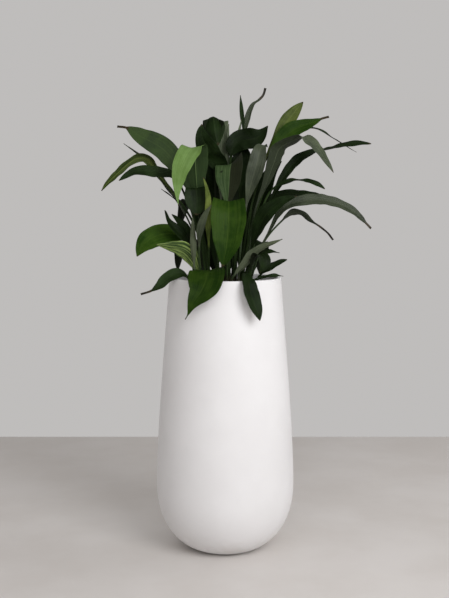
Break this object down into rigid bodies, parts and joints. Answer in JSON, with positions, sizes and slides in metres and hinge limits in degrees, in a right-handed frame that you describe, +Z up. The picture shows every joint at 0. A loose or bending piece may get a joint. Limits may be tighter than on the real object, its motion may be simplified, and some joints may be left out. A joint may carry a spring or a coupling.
{
  "type": "potted cast iron plant",
  "caption": "Cast iron plant with long arching lance-shaped leaves on slim stalks, growing from soil in a tall white tapered planter with a wide rounded belly and a thin plain rim.",
  "frame": {"origin": "centre of the planter's flat foot, on the surface it stands on", "axes": "+Z up along the planter's axis, -Y towards the front view of the plant, +X to the right of that view"},
  "size_m": [0.7719, 0.502, 1.3232],
  "materials": {
    "planter": "matte",
    "soil": "rough",
    "leaf_dark": "satin",
    "leaf_green": "satin",
    "leaf_bright": "satin",
    "leaf_olive": "satin",
    "leaf_pale": "satin",
    "leaf_slate": "satin",
    "leaf_streaked": "satin",
    "leaf_striped": "satin",
    "leaf_halved": "satin"
  },
  "bodies": {
    "root": {"pot": "planter", "soil": "soil", "leaf_01": "leaf_green", "leaf_02": "leaf_green", "leaf_03": "leaf_dark", "leaf_04": "leaf_bright", "leaf_05": "leaf_dark", "leaf_06": "leaf_halved", "leaf_07": "leaf_slate", "leaf_08": "leaf_olive", "leaf_09": "leaf_slate", "leaf_10": "leaf_pale", "leaf_11": "leaf_green", "leaf_12": "leaf_streaked", "leaf_13": "leaf_slate", "leaf_14": "leaf_dark", "leaf_15": "leaf_dark", "leaf_16": "leaf_dark", "leaf_17": "leaf_dark", "leaf_18": "leaf_green", "leaf_19": "leaf_striped", "leaf_20": "leaf_dark", "leaf_21": "leaf_dark", "leaf_22": "leaf_dark", "leaf_23": "leaf_pale", "leaf_24": "leaf_pale", "leaf_25": "leaf_dark", "leaf_26": "leaf_dark", "leaf_27": "leaf_slate", "leaf_28": "leaf_pale", "leaf_29": "leaf_olive", "leaf_30": "leaf_green", "leaf_31": "leaf_dark", "leaf_32": "leaf_slate", "leaf_33": "leaf_dark", "leaf_34": "leaf_dark", "leaf_35": "leaf_slate", "leaf_36": "leaf_dark", "leaf_37": "leaf_dark", "leaf_38": "leaf_slate", "leaf_39": "leaf_pale", "leaf_40": "leaf_dark", "leaf_41": "leaf_dark", "leaf_42": "leaf_dark", "leaf_43": "leaf_dark", "leaf_44": "leaf_dark", "leaf_45": "leaf_dark", "leaf_46": "leaf_dark", "leaf_47": "leaf_dark", "leaf_48": "leaf_dark", "leaf_49": "leaf_dark", "leaf_50": "leaf_dark", "leaf_51": "leaf_dark", "leaf_52": "leaf_dark", "leaf_53": "leaf_dark", "leaf_54": "leaf_dark", "leaf_55": "leaf_dark", "leaf_56": "leaf_dark", "leaf_57": "leaf_dark", "leaf_58": "leaf_dark"}
  },
  "joints": []
}
